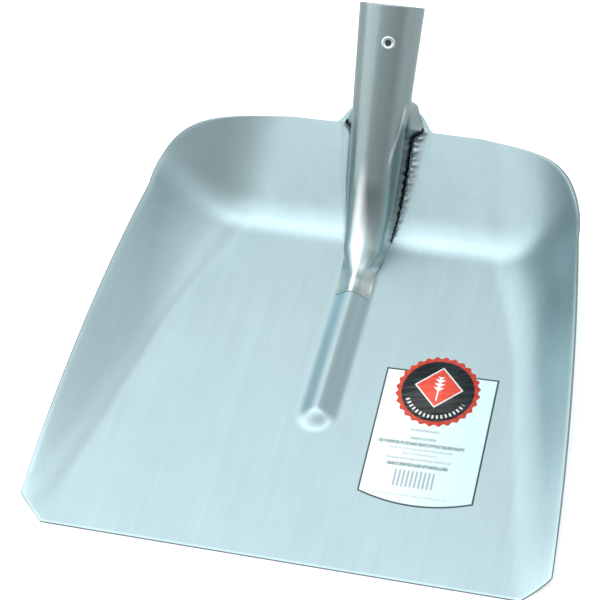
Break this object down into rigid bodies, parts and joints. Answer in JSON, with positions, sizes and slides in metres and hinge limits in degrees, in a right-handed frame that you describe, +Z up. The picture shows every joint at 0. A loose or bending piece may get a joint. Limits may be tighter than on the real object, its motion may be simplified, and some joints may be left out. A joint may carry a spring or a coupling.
{
  "type": "grain scoop shovel head",
  "caption": "Wide pressed sheet-steel scoop shovel head with raised sides and back, a pressed rib and a welded conical socket that takes a wooden handle.",
  "frame": {"origin": "under the middle of the shovel head, on the plane that the floor of the pan rests on", "axes": "+Z up, +Y from the cutting edge towards the socket mouth, +X across the pan"},
  "size_m": [0.3292, 0.3656, 0.128],
  "materials": {
    "pan_sheet": "satin, fine lengthwise grain",
    "socket_sheet": "semi-bright, drawn along the tube",
    "weld_metal": "rough bead",
    "eyelet_metal": "bright",
    "label_paper": "satin coated paper",
    "seal_print": "gloss printed sticker"
  },
  "bodies": {
    "root": {"blade": "pan_sheet", "socket": "socket_sheet", "weld_left": "weld_metal", "weld_right": "weld_metal", "seam_weld": "weld_metal", "nail_eyelet": "eyelet_metal", "label": "label_paper", "seal_sticker": "seal_print"}
  },
  "joints": []
}
